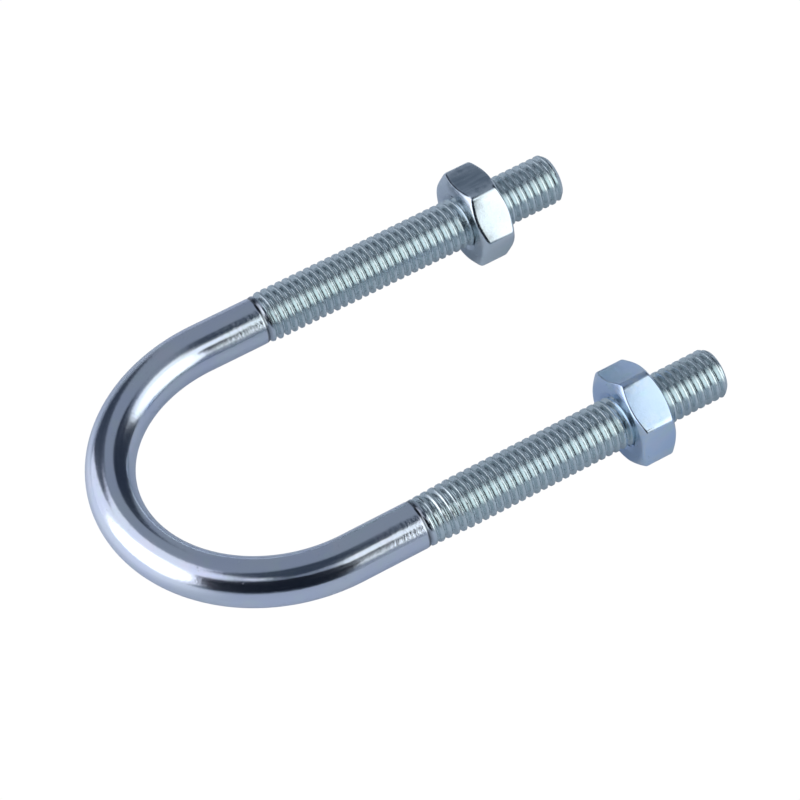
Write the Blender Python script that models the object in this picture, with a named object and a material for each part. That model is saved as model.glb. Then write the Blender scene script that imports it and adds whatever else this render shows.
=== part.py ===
"""A U-bolt: one bent round rod with a rolled thread on each leg, and a plain hexagon nut on each thread.

The U lies flat. Its rod's centre line is in the plane z = 0, its legs run along +Y and its bend faces -Y.
The left leg is the one at -X. Both threads are right-handed. Lengths are in metres.
"""

import math

import bmesh
import bpy

# The bent rod, measured on its centre line. The bend is half an ellipse, a little deeper than half a circle.
HALF_SPACING = 0.0270
BEND_DEPTH = 0.0296
LEG_LENGTH = 0.0750
LEFT_THREAD_LENGTH = 0.0632
RIGHT_THREAD_LENGTH = 0.0620

# The thread: metric coarse, M10, with crests that the rolling left a little short
NOMINAL_RADIUS = 0.0050
PITCH = 0.0015
FLANK_ANGLE = math.radians(30)
CREST_LOSS = 0.0002
ROD_ALLOWANCE = 0.00004
NUT_ALLOWANCE = 0.00009
RUN_OUT_LENGTH = 0.0009
TIP_CHAMFER = 0.0008

# The nuts: hexagon nuts, both faces chamfered to a circle, both ends of the hole countersunk
NUT_WIDTH = 0.0167
NUT_HEIGHT = 0.0071
NUT_FACE_SHARE = 0.954
NUT_CHAMFER = math.radians(30)
COUNTERSINK_MARGIN = 0.0007
COUNTERSINK_HALF_ANGLE = math.radians(60)

# Where the nuts are: how far the leg stands out past each, and how far each has turned
LEFT_LEG_PROUD = 0.0131
RIGHT_LEG_PROUD = 0.0136
LEFT_NUT_TURN = math.radians(18)
RIGHT_NUT_TURN = math.radians(58)

# How finely the round shapes are divided
SEGMENTS = 16
BEND_STEPS = 28
HEXAGON_SEGMENTS = 48
END_MARGIN = 0.00012
SHARP_ANGLE = math.radians(25)

# The metric thread's basic profile: from the nominal radius down to the pitch line and to a nut's crests
THREAD_TRIANGLE = PITCH / 2 / math.tan(FLANK_ANGLE)
PITCH_RADIUS = NOMINAL_RADIUS - 3 / 8 * THREAD_TRIANGLE
MINOR_RADIUS = NOMINAL_RADIUS - 5 / 8 * THREAD_TRIANGLE

# A rolled thread starts from a rod of its own pitch diameter, so the crests stand proud of the plain rod
ROD_PITCH_RADIUS = PITCH_RADIUS - ROD_ALLOWANCE
CREST_RADIUS = NOMINAL_RADIUS - CREST_LOSS
ROD_RADIUS = ROD_PITCH_RADIUS
TIP_RADIUS = CREST_RADIUS - TIP_CHAMFER

# The origin is the middle of the object's box, and the bend's ends are on this line
BEND_END_Y = (BEND_DEPTH + ROD_RADIUS - LEG_LENGTH) / 2
TIP_Y = BEND_END_Y + LEG_LENGTH


def clear_scene():
    for obj in list(bpy.data.objects):
        bpy.data.objects.remove(obj, do_unlink=True)


def zinc(name, colour, roughness):
    """Bright zinc plating on steel."""
    material = bpy.data.materials.new(name)
    material.use_nodes = True
    shader = material.node_tree.nodes["Principled BSDF"]
    shader.inputs["Base Color"].default_value = (*colour, 1)
    shader.inputs["Roughness"].default_value = roughness
    shader.inputs["Metallic"].default_value = 1
    return material


def around_leg(x, y, radius, angle):
    """A point at this radius and angle round a line along +Y through (x, 0). The angle runs from +Z to +X."""
    return (x + radius * math.sin(angle), y, radius * math.cos(angle))


def ring(bm, x, y, radius):
    step = 2 * math.pi / SEGMENTS
    return [bm.verts.new(around_leg(x, y, radius, step * i)) for i in range(SEGMENTS)]


def bridge_rings(bm, first, second):
    """Quads between two closed rings with the same number of vertices."""
    count = len(first)
    for i in range(count):
        j = (i + 1) % count
        bm.faces.new((first[i], first[j], second[j], second[i]))


def rod_profile():
    """One pitch of the rod's thread, as (offset along the leg, radius): a sharp root and a flat crest."""
    half_crest = PITCH / 4 - (CREST_RADIUS - ROD_PITCH_RADIUS) * math.tan(FLANK_ANGLE)
    return [
        (0, ROD_PITCH_RADIUS - THREAD_TRIANGLE / 2),
        (PITCH / 2 - half_crest, CREST_RADIUS),
        (PITCH / 2 + half_crest, CREST_RADIUS),
    ]


def nut_profile():
    """One pitch of a nut's thread, facing the rod's: its flat crest lies in the rod's root."""
    half_crest = PITCH / 4 - (PITCH_RADIUS - MINOR_RADIUS) * math.tan(FLANK_ANGLE)
    half_root = PITCH / 4 - (NOMINAL_RADIUS - PITCH_RADIUS) * math.tan(FLANK_ANGLE)
    return [
        (half_crest, MINOR_RADIUS + NUT_ALLOWANCE),
        (PITCH / 2 - half_root, NOMINAL_RADIUS + NUT_ALLOWANCE),
        (PITCH / 2 + half_root, NOMINAL_RADIUS + NUT_ALLOWANCE),
        (PITCH - half_crest, MINOR_RADIUS + NUT_ALLOWANCE),
    ]


def add_thread(bm, x, datum_y, ends, profile, fitted_radius):
    """A right-handed helical surface round (x, 0) between two ends, each a (height, radius). Returns their rings.

    A column of vertices stands at each angle, one pitch higher after each turn, so the last column meets the first
    one a whole profile further up. What would lie past an end is drawn onto that end's ring. datum_y is a height at
    which the profile starts, and fitted_radius(radius, y) trims its radius where the thread runs out or meets a cone.
    """
    low_ring, high_ring = (ring(bm, x, y, radius) for y, radius in ends)
    (low_y, _), (high_y, _) = ends
    start_y = datum_y + PITCH * (math.floor((low_y - datum_y) / PITCH) - 1)
    rows = len(profile) * (math.ceil((high_y - start_y) / PITCH) + 1)
    columns = []
    for j in range(SEGMENTS):
        column = []
        for k in range(rows + 1):
            offset, radius = profile[k % len(profile)]
            y = start_y + PITCH * (k // len(profile) + j / SEGMENTS) + offset
            if y < low_y + END_MARGIN:
                column.append(low_ring[j])
            elif y > high_y - END_MARGIN:
                column.append(high_ring[j])
            else:
                point = around_leg(x, y, fitted_radius(radius, y), 2 * math.pi * j / SEGMENTS)
                column.append(bm.verts.new(point))
        columns.append(column)
    next_columns = columns[1:] + [columns[0][len(profile):]]
    for column, following in zip(columns, next_columns):
        for k in range(len(following) - 1):
            corners = dict.fromkeys((column[k], following[k], following[k + 1], column[k + 1]))
            if len(corners) > 2:
                bm.faces.new(corners)
    return low_ring, high_ring


def add_leg(bm, x, thread_length, bend_ring):
    """A straight leg from the ring at the bend's end to its flat tip. Its thread starts past a plain stretch."""
    thread_y = TIP_Y - thread_length

    def fitted_radius(radius, y):
        depth = min((y - thread_y) / RUN_OUT_LENGTH, 1)
        return min(ROD_RADIUS + depth * (radius - ROD_RADIUS), TIP_RADIUS + TIP_Y - y)

    ends = ((thread_y, ROD_RADIUS), (TIP_Y, TIP_RADIUS))
    start_ring, tip_ring = add_thread(bm, x, thread_y, ends, rod_profile(), fitted_radius)
    bridge_rings(bm, bend_ring, start_ring)
    bm.faces.new(tip_ring)


def finish(bm, name, origin, material):
    """Turns the mesh's faces outward, puts the object's origin at this point and shades its round sides smooth."""
    bmesh.ops.recalc_face_normals(bm, faces=bm.faces[:])
    bmesh.ops.translate(bm, verts=bm.verts[:], vec=[-value for value in origin])
    mesh = bpy.data.meshes.new(name)
    bm.to_mesh(mesh)
    bm.free()
    mesh.shade_smooth()
    mesh.set_sharp_from_angle(angle=SHARP_ANGLE)
    mesh.materials.append(material)
    obj = bpy.data.objects.new(name, mesh)
    obj.location = origin
    bpy.context.scene.collection.objects.link(obj)


def bend_rings(bm):
    """The bend's sections, from the left leg's to the right leg's, each square to the centre line."""
    rings = []
    for step in range(BEND_STEPS + 1):
        turn = math.pi * step / BEND_STEPS
        centre = (-HALF_SPACING * math.cos(turn), BEND_END_Y - BEND_DEPTH * math.sin(turn))
        outward = (-BEND_DEPTH * math.cos(turn), -HALF_SPACING * math.sin(turn))
        length = math.hypot(*outward)
        section = []
        for i in range(SEGMENTS):
            inward, _, z = around_leg(0, 0, ROD_RADIUS, 2 * math.pi * i / SEGMENTS)
            x, y = (c - inward * o / length for c, o in zip(centre, outward))
            section.append(bm.verts.new((x, y, z)))
        rings.append(section)
    return rings


def make_rod(material):
    bm = bmesh.new()
    rings = bend_rings(bm)
    for first, second in zip(rings, rings[1:]):
        bridge_rings(bm, first, second)
    right_ring = [rings[-1][-i % SEGMENTS] for i in range(SEGMENTS)]
    add_leg(bm, -HALF_SPACING, LEFT_THREAD_LENGTH, rings[0])
    add_leg(bm, HALF_SPACING, RIGHT_THREAD_LENGTH, right_ring)
    finish(bm, "bent_rod", (0, 0, 0), material)


def fill_face(bm, rim, hole):
    """The flat ring between a rim and a hole, with several of the rim's vertices to each one of the hole's."""
    share = len(rim) // len(hole)
    for i in range(len(hole)):
        outer = [rim[(share * i + k) % len(rim)] for k in range(share + 1)]
        bm.faces.new((hole[i], *outer, hole[(i + 1) % len(hole)]))


def make_nut(name, x, thread_length, leg_proud, turn, material):
    """A hexagon nut on a leg, with a thread that follows the leg's own."""
    bm = bmesh.new()
    half = NUT_HEIGHT / 2
    centre_y = TIP_Y - leg_proud - half
    face_radius = NUT_WIDTH / 2 * NUT_FACE_SHARE
    spacing = 2 * math.pi / HEXAGON_SEGMENTS
    angles = [spacing * i + turn % spacing for i in range(HEXAGON_SEGMENTS)]

    def face_ring(end):
        y = centre_y + end * half
        return [bm.verts.new(around_leg(x, y, face_radius, angle)) for angle in angles]

    def hexagon_ring(end):
        """The edge where the chamfer's cone meets the hexagon, at the end of the nut given by -1 or 1."""
        edge = []
        for angle in angles:
            from_flat = (angle - turn) % (math.pi / 3) - math.pi / 6
            radius = NUT_WIDTH / 2 / math.cos(from_flat)
            height = half - (radius - face_radius) * math.tan(NUT_CHAMFER)
            edge.append(bm.verts.new(around_leg(x, centre_y + end * height, radius, angle)))
        return edge

    outside = [face_ring(-1), hexagon_ring(-1), hexagon_ring(1), face_ring(1)]
    for first, second in zip(outside, outside[1:]):
        bridge_rings(bm, first, second)

    hole_radius = NOMINAL_RADIUS + COUNTERSINK_MARGIN

    def fitted_radius(radius, y):
        depth = half - abs(y - centre_y)
        return max(radius, hole_radius - depth * math.tan(COUNTERSINK_HALF_ANGLE))

    ends = [(centre_y + end * half, hole_radius) for end in (-1, 1)]
    holes = add_thread(bm, x, TIP_Y - thread_length, ends, nut_profile(), fitted_radius)
    fill_face(bm, outside[0], holes[0])
    fill_face(bm, outside[-1], holes[1])
    finish(bm, name, (x, centre_y, 0), material)


clear_scene()
rod_zinc = zinc("rod_zinc", (0.62, 0.66, 0.70), 0.28)
nut_zinc = zinc("nut_zinc", (0.66, 0.71, 0.74), 0.24)
make_rod(rod_zinc)
make_nut("left_nut", -HALF_SPACING, LEFT_THREAD_LENGTH, LEFT_LEG_PROUD, LEFT_NUT_TURN, nut_zinc)
make_nut("right_nut", HALF_SPACING, RIGHT_THREAD_LENGTH, RIGHT_LEG_PROUD, RIGHT_NUT_TURN, nut_zinc)
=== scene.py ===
"""Looks of the U-bolt: a finely modelled rod and nuts in bright zinc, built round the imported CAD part.

Lengths are in metres, in the part's own frame: the U lies in the plane z = 0, its legs run along +Y and its
bend faces -Y. Directions in the studio are a bearing from +Y towards +X and an elevation, in degrees.
"""

import math

import bmesh
import bpy
from mathutils import Matrix, Vector


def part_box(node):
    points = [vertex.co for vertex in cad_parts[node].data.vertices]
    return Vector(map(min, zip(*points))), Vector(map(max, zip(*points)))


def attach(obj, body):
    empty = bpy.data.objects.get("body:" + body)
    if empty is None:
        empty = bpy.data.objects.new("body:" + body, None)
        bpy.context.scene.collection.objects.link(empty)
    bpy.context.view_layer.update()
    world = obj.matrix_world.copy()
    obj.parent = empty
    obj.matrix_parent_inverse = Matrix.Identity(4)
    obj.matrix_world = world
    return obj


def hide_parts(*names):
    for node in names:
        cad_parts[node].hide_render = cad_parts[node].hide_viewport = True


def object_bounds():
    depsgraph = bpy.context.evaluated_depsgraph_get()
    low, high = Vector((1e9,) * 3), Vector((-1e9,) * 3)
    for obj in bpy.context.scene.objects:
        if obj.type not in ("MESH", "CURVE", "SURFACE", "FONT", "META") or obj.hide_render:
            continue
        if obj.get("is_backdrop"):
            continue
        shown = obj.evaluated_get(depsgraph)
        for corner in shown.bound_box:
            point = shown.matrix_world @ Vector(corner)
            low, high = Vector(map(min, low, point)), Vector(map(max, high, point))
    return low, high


# The rod
ROD_RADIUS = 0.0044729
LEG_LENGTH = 0.0750
TIP_CHAMFER = 0.0008

# The rod's thread
PITCH = 0.0015
FLANK_ANGLE = math.radians(30)
ROOT_ROUNDING = 0.00022
CREST_ROUNDING = 0.00003
LEFT_THREAD_LENGTH = 0.0632
RIGHT_THREAD_LENGTH = 0.0620
LEFT_CREST_FILL = 0.0022
RIGHT_CREST_FILL = 0.0090
RUN_OUT_LENGTH = 0.0009
TIP_FILL_LENGTH = 0.0018

# The shallow step where the shank meets the thread, and the painted shade, a dark line, that fades from it
# into the first turn
STEP_DEPTH = 0.00006
STEP_LENGTH = 0.00030
STEP_SUPPORTS = (1.3 * STEP_LENGTH, STEP_LENGTH)
STEP_SHADE_FADE_LENGTH = 0.00085

# The nuts
NOMINAL_RADIUS = 0.0050
NUT_ALLOWANCE = 0.00009
NUT_WIDTH = 0.0167
NUT_FACE_SHARE = 0.954
NUT_CHAMFER = math.radians(30)
COUNTERSINK_MARGIN = 0.0007
COUNTERSINK_HALF_ANGLE = math.radians(60)
LEFT_NUT_TURN = math.radians(18)
RIGHT_NUT_TURN = math.radians(58)
CORNER_ROUNDING = 0.0013
LEFT_EDGE_ROUNDING = 0.0005
RIGHT_EDGE_ROUNDING = 0.00022

# How finely the round shapes are divided: a nut's outside has RIM_SHARE vertices to each one of its hole
SEGMENTS = 64
RIM_SHARE = 3
BEND_STEPS = 120
SHANK_STEPS = 12
ARC_STEPS = 4
DOME_SUBDIVISIONS = 4
END_MARGIN = 0.00004
SHARP_ANGLE = math.radians(30)

# Names of the mesh attributes that the materials read
ROD_SPACE = "rod_space"
THREADED = "threaded"
SCUFFED = "scuffed"
STEPPED = "stepped"
EDGE_WEAR = "edge_wear"

# The camera
CAMERA_BEARING = math.radians(62.3723)
CAMERA_ELEVATION = math.radians(53.1558)
CAMERA_ROLL = math.radians(-3.9454)
CAMERA_DISTANCE = 0.60927
CAMERA_LENS = 154.13
CAMERA_SHIFT = (0.03209, 0.00102)

# The studio
FLOOR_SIZE = 6.0
FLOOR_GAP = 0.0002
LIGHT_DISTANCE = 1.5
CARD_DISTANCE = 1.0
BACKDROP_WHITE = (1.0, 1.0, 1.0)
BACKDROP_STRENGTH = 1.02
WORLD_COLOUR = (0.70, 0.82, 1.0, 1)
WORLD_STRENGTH = 0.36

# The floor that the metal reflects. Its glow grows with the distance towards this bearing, in a wedge round it
FLOOR_COLOUR = (0.77, 0.82, 0.89, 1)
GLOW_COLOUR = (0.93, 0.95, 1.0, 1)
GLOW_BEARING = -168
GLOW_START = 0.042
GLOW_END = 0.080
GLOW_STRENGTH = 0.36
GLOW_WEDGE_COSINES = (0.62, 0.94)

# The zinc's shades, four each: its main blue, its greyer patches, and its faint green and warm tints
ROD_SHADES = ((0.69, 0.73, 0.86), (0.72, 0.76, 0.84), (0.70, 0.78, 0.82), (0.77, 0.75, 0.84))
LEFT_NUT_SHADES = ((0.67, 0.74, 0.81), (0.71, 0.77, 0.80), (0.69, 0.79, 0.79), (0.75, 0.76, 0.78))
RIGHT_NUT_SHADES = ((0.60, 0.74, 0.96), (0.65, 0.78, 0.95), (0.60, 0.81, 0.88), (0.70, 0.76, 0.96))
THREAD_ZINC = (0.68, 0.77, 0.76)
# Dull zinc for the pits and the nut's darker patch, and painted shade for the thread roots
DULL_AND_SHADE_ZINC = (0.30, 0.36, 0.42)
WORN_ZINC = (0.76, 0.81, 0.86)
# Painted shade: a near-black line at the step, standing in for its dark reflection
STEP_PAINTED_SHADE = (0.07, 0.08, 0.09)

# The zinc's finish. Texture heights are shares of TEXTURE_DEPTH
TEXTURE_DEPTH = 0.000016
ROD_ROUGHNESS = (0.12, 0.20)
NUT_ROUGHNESS = (0.15, 0.25)
THREAD_ROUGHNESS = 0.08
PIT_ROUGHNESS = 0.12
GRAIN_RANGE = (0.25, 0.75)
ROOT_SHADE_BOTTOM = ROD_RADIUS - 0.0004
ROOT_SHADE_TOP = ROD_RADIUS - 0.00002
DARK_PATCH_CORE = 0.0034
DARK_PATCH_EDGE = 0.0052

# The places of a Mix node's colour sockets, whose names aren't unique
MIX_FACTOR = 0
MIX_FIRST = 6
MIX_SECOND = 7
MIX_RESULT = 2

THREAD_TRIANGLE = PITCH / 2 / math.tan(FLANK_ANGLE)
PITCH_RADIUS = NOMINAL_RADIUS - 3 / 8 * THREAD_TRIANGLE
MINOR_RADIUS = NOMINAL_RADIUS - 5 / 8 * THREAD_TRIANGLE


# ---------------------------------------------------------------- shapes


def around_leg(x, y, radius, angle):
    """A point at this radius and angle round a line along +Y through (x, 0); the angle runs from +Z to +X."""
    return (x + radius * math.sin(angle), y, radius * math.cos(angle))


def ring(place, y, radius):
    """A closed ring of vertices, each made by place(radius, y, angle)."""
    return [place(radius, y, 2 * math.pi * i / SEGMENTS) for i in range(SEGMENTS)]


def bridge_rings(bm, first, second):
    """Quads between two closed rings with the same number of vertices."""
    count = len(first)
    for i in range(count):
        j = (i + 1) % count
        bm.faces.new((first[i], first[j], second[j], second[i]))


def arc(centre_offset, centre_radius, rounding, start, end):
    """Points (offset, radius) on an arc in a section through the leg; angle 0 points away from the axis."""
    points = []
    for step in range(ARC_STEPS + 1):
        angle = start + (end - start) * step / ARC_STEPS
        offset = centre_offset + rounding * math.sin(angle)
        points.append((offset, centre_radius + rounding * math.cos(angle)))
    return points


def rod_profile(crest_radius):
    """One pitch of the rod's thread, as (offset along the leg, radius): a round root, then a flat crest."""
    across = math.pi / 2 - FLANK_ANGLE
    root_centre = ROD_RADIUS - THREAD_TRIANGLE / 2 + ROOT_ROUNDING / math.sin(FLANK_ANGLE)
    half_crest = PITCH / 4 - (crest_radius - ROD_RADIUS) * math.tan(FLANK_ANGLE)
    inset = CREST_ROUNDING * math.tan(across / 2)
    crest_centre = crest_radius - CREST_ROUNDING
    root = arc(0, root_centre, ROOT_ROUNDING, math.pi + across, math.pi - across)
    rise = arc(PITCH / 2 - half_crest + inset, crest_centre, CREST_ROUNDING, -across, 0)
    fall = arc(PITCH / 2 + half_crest - inset, crest_centre, CREST_ROUNDING, 0, across)
    return root + [(PITCH / 4, ROD_RADIUS)] + rise + fall + [(PITCH * 3 / 4, ROD_RADIUS)]


def nut_profile():
    """One pitch of a nut's thread, facing the rod's: its flat crest lies in the rod's root."""
    half_crest = PITCH / 4 - (PITCH_RADIUS - MINOR_RADIUS) * math.tan(FLANK_ANGLE)
    half_root = PITCH / 4 - (NOMINAL_RADIUS - PITCH_RADIUS) * math.tan(FLANK_ANGLE)
    return [
        (half_crest, MINOR_RADIUS + NUT_ALLOWANCE),
        (PITCH / 4, PITCH_RADIUS + NUT_ALLOWANCE),
        (PITCH / 2 - half_root, NOMINAL_RADIUS + NUT_ALLOWANCE),
        (PITCH / 2 + half_root, NOMINAL_RADIUS + NUT_ALLOWANCE),
        (PITCH * 3 / 4, PITCH_RADIUS + NUT_ALLOWANCE),
        (PITCH - half_crest, MINOR_RADIUS + NUT_ALLOWANCE),
    ]


def add_thread(bm, place, datum_y, ends, profile, fitted_radius):
    """A right-handed helical surface between two ends, each a (height, radius). Returns their rings.

    A column of vertices stands at each angle, one pitch higher after each turn, so the last column meets the
    first one a whole profile further up. What would lie past an end is drawn onto that end's ring. datum_y is
    a height at which the profile starts, and fitted_radius(radius, y) trims its radius where the thread runs
    out or meets a cone.
    """
    low_ring, high_ring = (ring(place, y, radius) for y, radius in ends)
    (low_y, _), (high_y, _) = ends
    start_y = datum_y + PITCH * (math.floor((low_y - datum_y) / PITCH) - 1)
    rows = len(profile) * (math.ceil((high_y - start_y) / PITCH) + 1)
    columns = []
    for j in range(SEGMENTS):
        column = []
        for k in range(rows + 1):
            offset, radius = profile[k % len(profile)]
            y = start_y + PITCH * (k // len(profile) + j / SEGMENTS) + offset
            if y < low_y + END_MARGIN:
                column.append(low_ring[j])
            elif y > high_y - END_MARGIN:
                column.append(high_ring[j])
            else:
                column.append(place(fitted_radius(radius, y), y, 2 * math.pi * j / SEGMENTS))
        columns.append(column)
    next_columns = columns[1:] + [columns[0][len(profile):]]
    for column, following in zip(columns, next_columns):
        for k in range(len(following) - 1):
            corners = dict.fromkeys((column[k], following[k], following[k + 1], column[k + 1]))
            if len(corners) > 2:
                bm.faces.new(corners)
    return low_ring, high_ring


def finish_piece(bm, name, origin, material):
    """An object with this mesh, its faces turned outward and shaded smooth, and its origin at this point."""
    bmesh.ops.recalc_face_normals(bm, faces=bm.faces[:])
    bmesh.ops.translate(bm, verts=bm.verts[:], vec=-Vector(origin))
    mesh = bpy.data.meshes.new(name)
    bm.to_mesh(mesh)
    bm.free()
    mesh.shade_smooth()
    mesh.set_sharp_from_angle(angle=SHARP_ANGLE)
    mesh.materials.append(material)
    obj = bpy.data.objects.new(name, mesh)
    obj.location = origin
    bpy.context.scene.collection.objects.link(obj)
    return obj


# ---------------------------------------------------------------- the rod


class Rod:
    """The rod's sizes, read from the box of its CAD node."""

    def __init__(self, node):
        low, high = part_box(node)
        self.crest_radius = high.z
        self.half_spacing = high.x - self.crest_radius
        self.tip_y = high.y
        self.tip_radius = self.crest_radius - TIP_CHAMFER
        self.bend_end_y = self.tip_y - LEG_LENGTH
        self.bend_depth = self.bend_end_y - low.y - ROD_RADIUS


def rod_vertex(bm, position, radius, around, along, threaded=0.0, scuffed=0.0, stepped=0.0):
    """A vertex that also holds its place on the straightened rod and what the rod is like there."""
    vert = bm.verts.new(position)
    for layer, value in ((THREADED, threaded), (SCUFFED, scuffed), (STEPPED, stepped)):
        vert[bm.verts.layers.float[layer]] = value
    straight = (radius * math.sin(around), along, radius * math.cos(around))
    vert[bm.verts.layers.float_vector[ROD_SPACE]] = straight
    return vert


def bend_sections(bm, rod):
    """The bend's rings, from the left leg's to the right leg's, and its length.

    The centre line is half an ellipse, and each ring is square to it.
    """
    rings = []
    along = 0
    last_centre = None
    for step in range(BEND_STEPS + 1):
        turn = math.pi * step / BEND_STEPS
        centre = Vector((
            -rod.half_spacing * math.cos(turn),
            rod.bend_end_y - rod.bend_depth * math.sin(turn),
            0,
        ))
        inward = Vector((rod.bend_depth * math.cos(turn), rod.half_spacing * math.sin(turn), 0))
        inward.normalize()
        if last_centre is not None:
            along += (centre - last_centre).length
        last_centre = centre
        section = []
        for i in range(SEGMENTS):
            around = 2 * math.pi * i / SEGMENTS
            across = ROD_RADIUS * (math.sin(around) * inward + math.cos(around) * Vector((0, 0, 1)))
            section.append(rod_vertex(bm, centre + across, ROD_RADIUS, around, along))
        rings.append(section)
    return rings, along


def add_leg(bm, rod, side, thread_length, crest_fill, bend_ring, bend_along):
    """A leg from the bend to its flat tip.

    side is -1 on the left and 1 on the right. crest_fill is the length over which the thread's crests rise to
    their full height. Two rings just before the step keep its shading from reaching back along the shank.
    """
    x = side * rod.half_spacing
    thread_y = rod.tip_y - thread_length
    plain_length = thread_y - rod.bend_end_y

    def place(radius, y, angle):
        around = -side * angle
        along = bend_along + side * (y - rod.bend_end_y)
        threaded = min(max((y - thread_y) / PITCH, 0), 1)
        scuffed = min((y - rod.bend_end_y) / plain_length, 1)
        # The painted shade at the step fades back over the step and on into the first turn
        fade_length = STEP_LENGTH if y < thread_y else STEP_SHADE_FADE_LENGTH
        stepped = max(1 - abs(y - thread_y) / fade_length, 0)
        position = around_leg(x, y, radius, angle)
        return rod_vertex(bm, position, radius, around, along, threaded, scuffed, stepped)

    def fitted_radius(radius, y):
        rise = radius - ROD_RADIUS
        if rise > 0:
            share = min((y - thread_y) / crest_fill, 1)
        else:
            share = min((y - thread_y) / RUN_OUT_LENGTH, (rod.tip_y - y) / TIP_FILL_LENGTH, 1)
        dip = STEP_DEPTH * max(1 - (y - thread_y) / RUN_OUT_LENGTH, 0)
        return min(ROD_RADIUS - dip + share * rise, rod.tip_radius + rod.tip_y - y)

    ends = ((thread_y, ROD_RADIUS - STEP_DEPTH), (rod.tip_y, rod.tip_radius))
    profile = rod_profile(rod.crest_radius)
    start_ring, tip_ring = add_thread(bm, place, thread_y, ends, profile, fitted_radius)
    last_ring = bend_ring
    shank_length = plain_length - 2 * STEP_LENGTH
    heights = [rod.bend_end_y + shank_length * step / SHANK_STEPS for step in range(1, SHANK_STEPS)]
    supports = [thread_y - distance for distance in STEP_SUPPORTS]
    for y in heights + supports:
        shank_ring = ring(place, y, ROD_RADIUS)
        bridge_rings(bm, last_ring, shank_ring)
        last_ring = shank_ring
    bridge_rings(bm, last_ring, start_ring)
    bm.faces.new(tip_ring)


def make_rod(material):
    rod = Rod("bent_rod")
    bm = bmesh.new()
    bm.verts.layers.float_vector.new(ROD_SPACE)
    for layer in (THREADED, SCUFFED, STEPPED):
        bm.verts.layers.float.new(layer)
    rings, bend_length = bend_sections(bm, rod)
    for first, second in zip(rings, rings[1:]):
        bridge_rings(bm, first, second)
    right_ring = [rings[-1][-i % SEGMENTS] for i in range(SEGMENTS)]
    add_leg(bm, rod, -1, LEFT_THREAD_LENGTH, LEFT_CREST_FILL, rings[0], 0)
    add_leg(bm, rod, 1, RIGHT_THREAD_LENGTH, RIGHT_CREST_FILL, right_ring, bend_length)
    piece = finish_piece(bm, "zinc_rod", (0, 0, 0), material)
    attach(piece, "rod")
    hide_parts("bent_rod")
    return rod


# ---------------------------------------------------------------- the nuts


def hexagon_radius(from_corner):
    """Distance of a hexagon's side from its axis, at this angle from the nearest corner, which is rounded."""
    arc_centre = (NUT_WIDTH / 2 - CORNER_ROUNDING) / math.cos(math.pi / 6)
    arc_end = math.atan2(
        CORNER_ROUNDING * math.sin(math.pi / 6),
        arc_centre + CORNER_ROUNDING * math.cos(math.pi / 6),
    )
    if abs(from_corner) > arc_end:
        return NUT_WIDTH / 2 / math.cos(math.pi / 6 - abs(from_corner))
    sideways = arc_centre * math.sin(from_corner)
    return arc_centre * math.cos(from_corner) + math.sqrt(CORNER_ROUNDING ** 2 - sideways ** 2)


def rounded_corner(before, corner, after, rounding):
    """Points (radius, height, wear) of a small curve in place of the corner between two straight lines."""
    start, bend, end = (Vector(point) for point in (before, corner, after))
    first = bend + (start - bend).normalized() * min(rounding, (start - bend).length / 2)
    last = bend + (end - bend).normalized() * min(rounding, (end - bend).length / 2)
    points = []
    for step in range(ARC_STEPS + 1):
        t = step / ARC_STEPS
        point = (1 - t) ** 2 * first + 2 * t * (1 - t) * bend + t ** 2 * last
        points.append((point.x, point.y, 4 * t * (1 - t)))
    return points


def nut_section(from_corner, half, face_radius, hole_radius, rounding):
    """The nut's outline at one angle, from the lower hole to the upper one, as (radius, height, wear)."""
    radius = hexagon_radius(from_corner)
    side_height = half - (radius - face_radius) * math.tan(NUT_CHAMFER)
    outline = [
        (hole_radius, -half),
        (face_radius, -half),
        (radius, -side_height),
        (radius, side_height),
        (face_radius, half),
        (hole_radius, half),
    ]
    points = []
    for before, corner, after in zip(outline, outline[1:], outline[2:]):
        points += rounded_corner(before, corner, after, rounding)
    return points


def fill_face(bm, rim, hole):
    """The flat ring between a rim and a hole, with several vertices on the rim to each one on the hole."""
    for i in range(len(hole)):
        outer = [rim[(RIM_SHARE * i + k) % len(rim)] for k in range(RIM_SHARE + 1)]
        bm.faces.new((hole[i], *outer, hole[(i + 1) % len(hole)]))


def make_nut(name, node, rod, side, thread_length, turn, rounding, material):
    """A hexagon nut with a thread that follows its leg's own."""
    low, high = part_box(node)
    x = side * rod.half_spacing
    half = (high.y - low.y) / 2
    centre_y = (high.y + low.y) / 2
    face_radius = NUT_WIDTH / 2 * NUT_FACE_SHARE
    hole_radius = NOMINAL_RADIUS + COUNTERSINK_MARGIN
    bm = bmesh.new()
    wear = bm.verts.layers.float.new(EDGE_WEAR)

    def place(radius, y, angle):
        return bm.verts.new(around_leg(x, y, radius, angle))

    columns = []
    count = SEGMENTS * RIM_SHARE
    for i in range(count):
        angle = 2 * math.pi * i / count
        from_corner = (angle - turn + math.pi / 6) % (math.pi / 3) - math.pi / 6
        corner_wear = max(0, 1 - abs(from_corner) * face_radius / (2 * CORNER_ROUNDING))
        column = []
        for radius, height, edge_wear in nut_section(from_corner, half, face_radius, hole_radius, rounding):
            vert = place(radius, centre_y + height, angle)
            vert[wear] = max(edge_wear, corner_wear if radius > face_radius else 0)
            column.append(vert)
        columns.append(column)
    outside = [list(level) for level in zip(*columns)]
    for first, second in zip(outside, outside[1:]):
        bridge_rings(bm, first, second)

    def fitted_radius(radius, y):
        depth = half - abs(y - centre_y)
        return max(radius, hole_radius - depth * math.tan(COUNTERSINK_HALF_ANGLE))

    ends = [(centre_y + end * half, hole_radius) for end in (-1, 1)]
    holes = add_thread(bm, place, rod.tip_y - thread_length, ends, nut_profile(), fitted_radius)
    fill_face(bm, outside[0], holes[0])
    fill_face(bm, outside[-1], holes[1])
    piece = finish_piece(bm, name, (x, centre_y, 0), material)
    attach(piece, node)
    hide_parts(node)


# ---------------------------------------------------------------- materials


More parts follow.
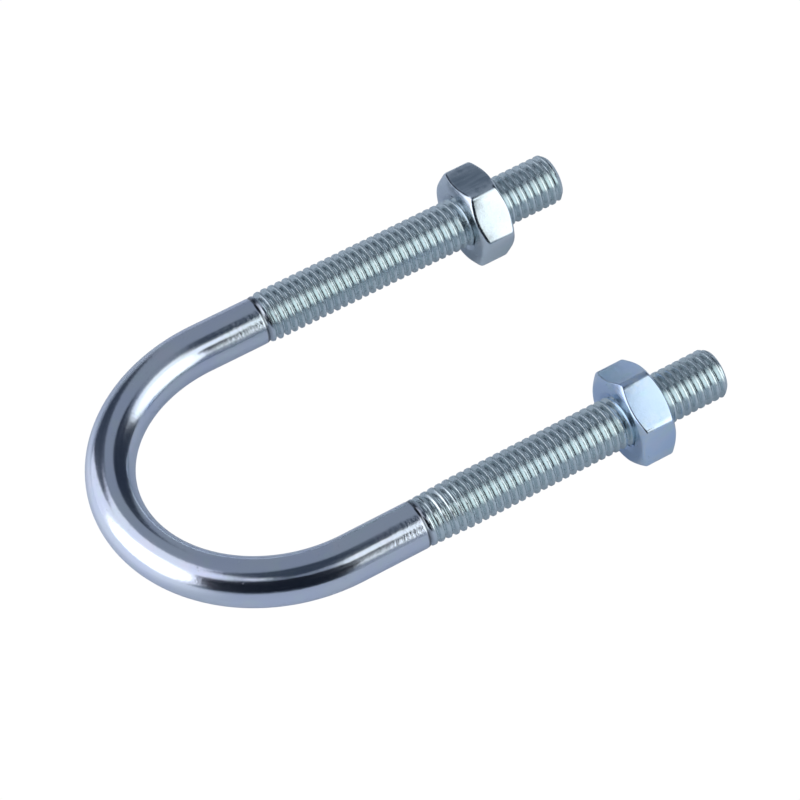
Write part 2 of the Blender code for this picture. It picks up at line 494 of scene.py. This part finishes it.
class Nodes:
    """A short way to write a material's nodes."""

    def __init__(self, name):
        self.material = bpy.data.materials.new(name)
        self.material.use_nodes = True
        self.tree = self.material.node_tree
        self.shader = self.tree.nodes["Principled BSDF"]

    def add(self, kind, **settings):
        node = self.tree.nodes.new("ShaderNode" + kind)
        for key, value in settings.items():
            setattr(node, key, value)
        return node

    def set(self, node, **values):
        """Sets the node's inputs, each to a constant or to another node's output."""
        for key, value in values.items():
            socket = node.inputs[key.replace("_", " ")]
            if isinstance(value, bpy.types.NodeSocket):
                self.tree.links.new(value, socket)
            else:
                socket.default_value = value
        return node

    def maths(self, operation, *values):
        """The result of this operation on constants and other nodes' outputs."""
        node = self.add("Math", operation=operation)
        for socket, value in zip(node.inputs, values):
            if isinstance(value, bpy.types.NodeSocket):
                self.tree.links.new(value, socket)
            else:
                socket.default_value = value
        return node.outputs[0]

    def weighted_sum(self, *terms):
        """The sum of other nodes' outputs, each given with its weight."""
        parts = [self.maths("MULTIPLY", value, weight) for value, weight in terms]
        total = parts[0]
        for part in parts[1:]:
            total = self.maths("ADD", total, part)
        return total

    def attribute(self, name):
        """A mesh attribute with one number for each vertex."""
        return self.add("Attribute", attribute_name=name).outputs["Fac"]

    def dot(self, vector, direction):
        node = self.add("VectorMath", operation="DOT_PRODUCT")
        self.tree.links.new(vector, node.inputs[0])
        node.inputs[1].default_value = direction
        return node.outputs["Value"]

    def stretch(self, vector, scale):
        node = self.add("Mapping", vector_type="POINT")
        return self.set(node, Vector=vector, Scale=scale).outputs[0]

    def noise(self, vector, scale, detail=2.0, roughness=0.5):
        node = self.add("TexNoise")
        self.set(node, Vector=vector, Scale=scale, Detail=detail, Roughness=roughness)
        return node.outputs["Fac"]

    def spread(self, value, low, high, to_low=0.0, to_high=1.0):
        """The value's range from low to high drawn out to the range from to_low to to_high, and clamped."""
        node = self.add("MapRange", interpolation_type="SMOOTHSTEP")
        self.set(node, Value=value, From_Min=low, From_Max=high, To_Min=to_low, To_Max=to_high)
        return node.outputs["Result"]

    def blend(self, factor, first, second, share=1.0):
        """The first colour, turned into this share of the second where the factor is 1."""
        node = self.add("Mix", data_type="RGBA")
        amount = factor if share == 1.0 else self.maths("MULTIPLY", factor, share)
        self.tree.links.new(amount, node.inputs[MIX_FACTOR])
        for index, colour in ((MIX_FIRST, first), (MIX_SECOND, second)):
            if isinstance(colour, bpy.types.NodeSocket):
                self.tree.links.new(colour, node.inputs[index])
            else:
                node.inputs[index].default_value = (*colour, 1)
        return node.outputs[MIX_RESULT]


def zinc_colour(nodes, space, shades):
    """Blue passivated zinc: faint patches that lean to blue, to green and to a warm violet."""
    blue, grey, green, warm = shades
    patches = nodes.spread(nodes.noise(space, scale=110.0, detail=3.0), 0.38, 0.62)
    greenish = nodes.spread(nodes.noise(space, scale=260.0, detail=4.0), 0.52, 0.70)
    warmish = nodes.spread(nodes.noise(space, scale=190.0, detail=3.0), 0.56, 0.72)
    colour = nodes.blend(patches, blue, grey)
    colour = nodes.blend(greenish, colour, green, share=0.6)
    return nodes.blend(warmish, colour, warm, share=0.5)


def pits(nodes, space, scale):
    """1 in small scattered pits and 0 elsewhere. The scale is the number of possible pits to the metre."""
    cells = nodes.add("TexVoronoi")
    nodes.set(cells, Vector=space, Scale=scale)
    near = nodes.spread(cells.outputs["Distance"], 0.10, 0.26, to_low=1.0, to_high=0.0)
    where = nodes.spread(nodes.noise(space, scale=scale * 0.35), 0.55, 0.68)
    return nodes.maths("MULTIPLY", near, where)


def distance_from_leg_axis(nodes, space):
    """How far a point of the straightened rod is from its axis."""
    split = nodes.add("SeparateXYZ")
    nodes.set(split, Vector=space)
    x_squared = nodes.maths("MULTIPLY", split.outputs["X"], split.outputs["X"])
    z_squared = nodes.maths("MULTIPLY", split.outputs["Z"], split.outputs["Z"])
    return nodes.maths("SQRT", nodes.maths("ADD", x_squared, z_squared))


def zinc_surface(nodes, colour, roughness, height):
    """Puts the finish on the shader: a metal whose grain shows in its roughness and its bump."""
    bump = nodes.add("Bump")
    nodes.set(bump, Height=height, Distance=TEXTURE_DEPTH, Strength=1.0)
    normal = bump.outputs["Normal"]
    nodes.set(nodes.shader, Base_Color=colour, Roughness=roughness, Normal=normal, Metallic=1.0)
    return nodes.material


def rod_zinc():
    """Zinc on drawn and rolled bar: lines along the rod, grain, faint waves, and painted shade that darkens
    the thread roots a little.

    The plain part has pits, and scuffs that grow towards the thread. Shade is painted at the step before the
    thread, as a dark line.
    """
    nodes = Nodes("rod_zinc_plating")
    space = nodes.add("Attribute", attribute_name=ROD_SPACE).outputs["Vector"]
    drawn = nodes.noise(nodes.stretch(space, (1, 0.03, 1)), scale=2600.0, detail=3.0)
    grain = nodes.noise(space, scale=5200.0, detail=3.0, roughness=0.6)
    waves = nodes.noise(nodes.stretch(space, (1, 0.35, 1)), scale=320.0)
    scratches = nodes.noise(nodes.stretch(space, (1, 1.6, 1)), scale=1000.0, detail=4.0, roughness=0.6)

    radius = distance_from_leg_axis(nodes, space)
    in_root = nodes.spread(radius, ROOT_SHADE_BOTTOM, ROOT_SHADE_TOP, to_low=1.0, to_high=0.0)
    threaded = nodes.attribute(THREADED)
    plain = nodes.maths("SUBTRACT", 1.0, threaded)
    pitted = nodes.maths("MULTIPLY", pits(nodes, space, 1300.0), plain)
    near_thread = nodes.spread(nodes.attribute(SCUFFED), 0.1, 0.9, to_low=0.3, to_high=1.0)
    scuffed = nodes.maths("MULTIPLY", near_thread, plain)
    scuffs = nodes.maths("MULTIPLY", scratches, scuffed)

    colour = zinc_colour(nodes, space, ROD_SHADES)
    colour = nodes.blend(threaded, colour, THREAD_ZINC, share=0.75)
    # Painted shade: the thread roots a little darker
    colour = nodes.blend(in_root, colour, DULL_AND_SHADE_ZINC, share=0.08)
    colour = nodes.blend(pitted, colour, DULL_AND_SHADE_ZINC, share=0.3)
    # Painted shade: the step drawn as a near-black line that fades into the first turn
    colour = nodes.blend(nodes.attribute(STEPPED), colour, STEP_PAINTED_SHADE, share=0.95)
    gloss = nodes.spread(drawn, *GRAIN_RANGE, *ROD_ROUGHNESS)
    roughness = nodes.weighted_sum((gloss, 1.0), (threaded, THREAD_ROUGHNESS), (pitted, PIT_ROUGHNESS))
    height = nodes.weighted_sum((drawn, 0.16), (grain, 0.24), (waves, 0.9), (scuffs, 2.6), (pitted, -0.12))
    return zinc_surface(nodes, colour, roughness, height)


def dark_patch(nodes, space, centre):
    """1 on one side of a nut, round this point, where the zinc is drawn darker, streaked along the nut."""
    away = nodes.add("VectorMath", operation="DISTANCE")
    nodes.tree.links.new(space, away.inputs[0])
    away.inputs[1].default_value = centre
    near = nodes.spread(away.outputs["Value"], DARK_PATCH_CORE, DARK_PATCH_EDGE, to_low=1.0, to_high=0.0)
    lines = nodes.noise(nodes.stretch(space, (1, 0.12, 1)), scale=1300.0, detail=3.0)
    streaks = nodes.spread(lines, 0.3, 0.7, to_low=0.62, to_high=1.0)
    return nodes.maths("MULTIPLY", near, streaks)


def nut_zinc(name, shades, dark_patch_angle=None):
    """Zinc on forged nuts: a fine uneven grain, pits, bright edges, and a darker streaked side if its angle is
    given.
    """
    nodes = Nodes(name)
    space = nodes.add("TexCoord").outputs["Object"]
    grain = nodes.noise(space, scale=3200.0, detail=4.0, roughness=0.6)
    waves = nodes.noise(space, scale=420.0)
    pitted = pits(nodes, space, 1500.0)
    rubbed = nodes.spread(nodes.noise(space, scale=900.0, detail=3.0), 0.35, 0.6)
    worn = nodes.maths("MULTIPLY", nodes.attribute(EDGE_WEAR), rubbed)

    colour = zinc_colour(nodes, space, shades)
    if dark_patch_angle is not None:
        darkened = dark_patch(nodes, space, around_leg(0, 0, NUT_WIDTH / 2, dark_patch_angle))
        colour = nodes.blend(darkened, colour, DULL_AND_SHADE_ZINC)
    colour = nodes.blend(worn, colour, WORN_ZINC, share=0.6)
    colour = nodes.blend(pitted, colour, DULL_AND_SHADE_ZINC, share=0.25)
    gloss = nodes.spread(grain, *GRAIN_RANGE, *NUT_ROUGHNESS)
    roughness = nodes.weighted_sum((gloss, 1.0), (pitted, PIT_ROUGHNESS))
    height = nodes.weighted_sum((grain, 0.12), (waves, 0.9), (pitted, -0.12))
    return zinc_surface(nodes, colour, roughness, height)


# ---------------------------------------------------------------- studio


def towards(bearing, elevation):
    """The direction with this bearing from +Y towards +X and this elevation, in degrees."""
    turn, rise = math.radians(bearing), math.radians(elevation)
    return Vector((math.sin(turn) * math.cos(rise), math.cos(turn) * math.cos(rise), math.sin(rise)))


def facing_centre(direction, distance, tilt=0.0):
    """A matrix that puts an object this far out in this direction, with its -Z towards the centre and Y up.

    Seen from the centre, tilt then leans its top to the left, in degrees.
    """
    turn = (-direction).to_track_quat("-Z", "Y").to_matrix().to_4x4()
    return Matrix.Translation(direction * distance) @ turn @ Matrix.Rotation(-math.radians(tilt), 4, "Z")


def sight_size(distance, angle):
    """The width that fills this angle, in degrees, seen from the centre."""
    return 2 * distance * math.tan(math.radians(angle) / 2)


def softbox(name, place, angles, radiance, colour):
    """A soft light, elliptical as a folding one is.

    place is its bearing and elevation, angles the width and height that it fills, and radiance how bright its
    face is.
    """
    light = bpy.data.lights.new(name, "AREA")
    light.shape = "ELLIPSE"
    light.size, light.size_y = (sight_size(LIGHT_DISTANCE, angle) for angle in angles)
    light.color = colour
    light.energy = radiance * math.pi * (math.pi / 4 * light.size * light.size_y)
    obj = bpy.data.objects.new(name, light)
    obj.matrix_world = facing_centre(towards(*place), LIGHT_DISTANCE)
    obj.visible_camera = False
    bpy.context.scene.collection.objects.link(obj)


def stage_material(nodes, base, glow_colour, glow):
    """Puts a matt surface with a light of its own on the shader."""
    nodes.set(nodes.shader, Base_Color=base, Roughness=1.0, Specular_IOR_Level=0.0)
    nodes.set(nodes.shader, Emission_Color=glow_colour, Emission_Strength=glow)
    return nodes.material


def glowing_material(name, colour, strength):
    """A surface that only gives off its own even light."""
    return stage_material(Nodes(name), (0, 0, 0, 1), (*colour, 1), strength)


def floor_material():
    """A pale floor that grows brighter from under the object towards the fill light."""
    nodes = Nodes("pale")
    glow_direction = towards(GLOW_BEARING, 0)
    place = nodes.add("NewGeometry").outputs["Position"]
    direction = nodes.add("VectorMath", operation="NORMALIZE")
    nodes.set(direction, Vector=place)
    along = nodes.dot(place, glow_direction)
    facing = nodes.dot(direction.outputs["Vector"], glow_direction)
    growth = nodes.spread(along, GLOW_START, GLOW_END, to_low=0.0, to_high=GLOW_STRENGTH)
    glow = nodes.maths("MULTIPLY", growth, nodes.spread(facing, *GLOW_WEDGE_COSINES))
    return stage_material(nodes, FLOOR_COLOUR, GLOW_COLOUR, glow)


def stage_piece(name, bm, matrix, material, seen_by_camera):
    """A piece of the studio, not of the object. Either the camera sees it, or the metal does."""
    mesh = bpy.data.meshes.new(name)
    bm.to_mesh(mesh)
    bm.free()
    mesh.materials.append(material)
    obj = bpy.data.objects.new(name, mesh)
    obj.matrix_world = matrix
    obj.visible_camera = seen_by_camera
    obj.visible_glossy = not seen_by_camera
    obj.visible_diffuse = not seen_by_camera
    obj.visible_shadow = not seen_by_camera
    bpy.context.scene.collection.objects.link(obj)
    obj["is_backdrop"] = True


def card(width, height):
    """A flat oblong round the origin."""
    bm = bmesh.new()
    corners = [(-width, -height), (width, -height), (width, height), (-width, height)]
    bm.faces.new([bm.verts.new((x / 2, y / 2, 0)) for x, y in corners])
    return bm


def flag(name, place, angles, shade, tilt=0.0):
    """A dark card that the metal reflects, at this bearing and elevation, filling this width and height."""
    bm = card(*(sight_size(CARD_DISTANCE, angle) for angle in angles))
    matrix = facing_centre(towards(*place), CARD_DISTANCE, tilt)
    stage_piece(name, bm, matrix, glowing_material(name, shade, 1.0), False)


def make_backdrop():
    """An even white floor and dome for the camera, and a shaded pale floor for the metal to reflect."""
    low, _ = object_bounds()
    floor_matrix = Matrix.Translation((0, 0, low.z - FLOOR_GAP))
    white = glowing_material("white", BACKDROP_WHITE, BACKDROP_STRENGTH)
    stage_piece("floor", card(FLOOR_SIZE, FLOOR_SIZE), floor_matrix, white, True)
    dome = bmesh.new()
    bmesh.ops.create_icosphere(dome, subdivisions=DOME_SUBDIVISIONS, radius=FLOOR_SIZE)
    stage_piece("dome", dome, Matrix.Identity(4), white, True)
    stage_piece("floor_reflected", card(FLOOR_SIZE, FLOOR_SIZE), floor_matrix, floor_material(), False)


def make_world():
    world = bpy.data.worlds.new("studio")
    world.use_nodes = True
    background = world.node_tree.nodes["Background"]
    background.inputs["Color"].default_value = WORLD_COLOUR
    background.inputs["Strength"].default_value = WORLD_STRENGTH
    bpy.context.scene.world = world


def make_lights():
    """Two large soft lights, each with a brighter middle, and a small one high up for a spark on the bend."""
    softbox("key", (44, 30), (63, 72), radiance=0.85, colour=(0.95, 1.0, 0.97))
    softbox("key_core", (45, 27), (52, 44), radiance=0.48, colour=(0.97, 1.0, 0.98))
    softbox("fill", (-158, 26), (94, 104), radiance=0.70, colour=(0.90, 0.91, 1.0))
    softbox("fill_core", (-172, 22), (54, 62), radiance=0.85, colour=(0.96, 0.97, 1.0))
    softbox("spark", (133, 67), (8, 14), radiance=0.8, colour=(1.0, 1.0, 1.0))


def make_flags():
    """The dark parts of the studio: the camera's own side, the far end, the left and the top."""
    flag("flag_camera", (115, 30), (72, 54), shade=(0.008, 0.012, 0.02), tilt=6)
    flag("flag_far", (-14, 22), (44, 70), shade=(0.026, 0.036, 0.055), tilt=30)
    flag("flag_left", (-104, 28), (30, 38), shade=(0.042, 0.056, 0.08), tilt=15)
    flag("flag_top", (80, 81), (33, 33), shade=(0.035, 0.05, 0.075))


def make_camera():
    camera = bpy.data.cameras.new("camera")
    camera.lens = CAMERA_LENS
    camera.shift_x, camera.shift_y = CAMERA_SHIFT
    back = Vector((
        math.sin(CAMERA_BEARING) * math.cos(CAMERA_ELEVATION),
        -math.cos(CAMERA_BEARING) * math.cos(CAMERA_ELEVATION),
        math.sin(CAMERA_ELEVATION),
    ))
    level = (-back).to_track_quat("-Z", "Y").to_matrix().to_4x4()
    obj = bpy.data.objects.new("camera", camera)
    roll = Matrix.Rotation(CAMERA_ROLL, 4, "Z")
    obj.matrix_world = Matrix.Translation(back * CAMERA_DISTANCE) @ level @ roll
    bpy.context.scene.collection.objects.link(obj)
    bpy.context.scene.camera = obj


def write_sizes(before):
    """Works out the CAD model's box and the visual model's, each as its lowest and its highest corner, but
    writes neither.
    """
    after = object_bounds()
    [[list(corner) for corner in box] for box in (before, after)]


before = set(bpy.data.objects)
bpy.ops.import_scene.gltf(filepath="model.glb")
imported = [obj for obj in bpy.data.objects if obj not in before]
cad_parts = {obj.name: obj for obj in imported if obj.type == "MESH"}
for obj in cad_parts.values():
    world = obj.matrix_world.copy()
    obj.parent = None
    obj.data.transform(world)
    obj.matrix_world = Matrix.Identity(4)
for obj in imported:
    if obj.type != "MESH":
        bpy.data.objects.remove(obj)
cad_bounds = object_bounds()
rod = make_rod(rod_zinc())
left_zinc = nut_zinc("left_nut_zinc_plating", LEFT_NUT_SHADES, LEFT_NUT_TURN - math.pi / 6)
right_zinc = nut_zinc("right_nut_zinc_plating", RIGHT_NUT_SHADES)
make_nut(
    "zinc_nut_left", "left_nut", rod, -1,
    LEFT_THREAD_LENGTH, LEFT_NUT_TURN, LEFT_EDGE_ROUNDING, left_zinc,
)
make_nut(
    "zinc_nut_right", "right_nut", rod, 1,
    RIGHT_THREAD_LENGTH, RIGHT_NUT_TURN, RIGHT_EDGE_ROUNDING, right_zinc,
)
make_backdrop()
make_world()
make_lights()
make_flags()
make_camera()
bpy.context.scene.view_settings.view_transform = "Standard"
write_sizes(cad_bounds)
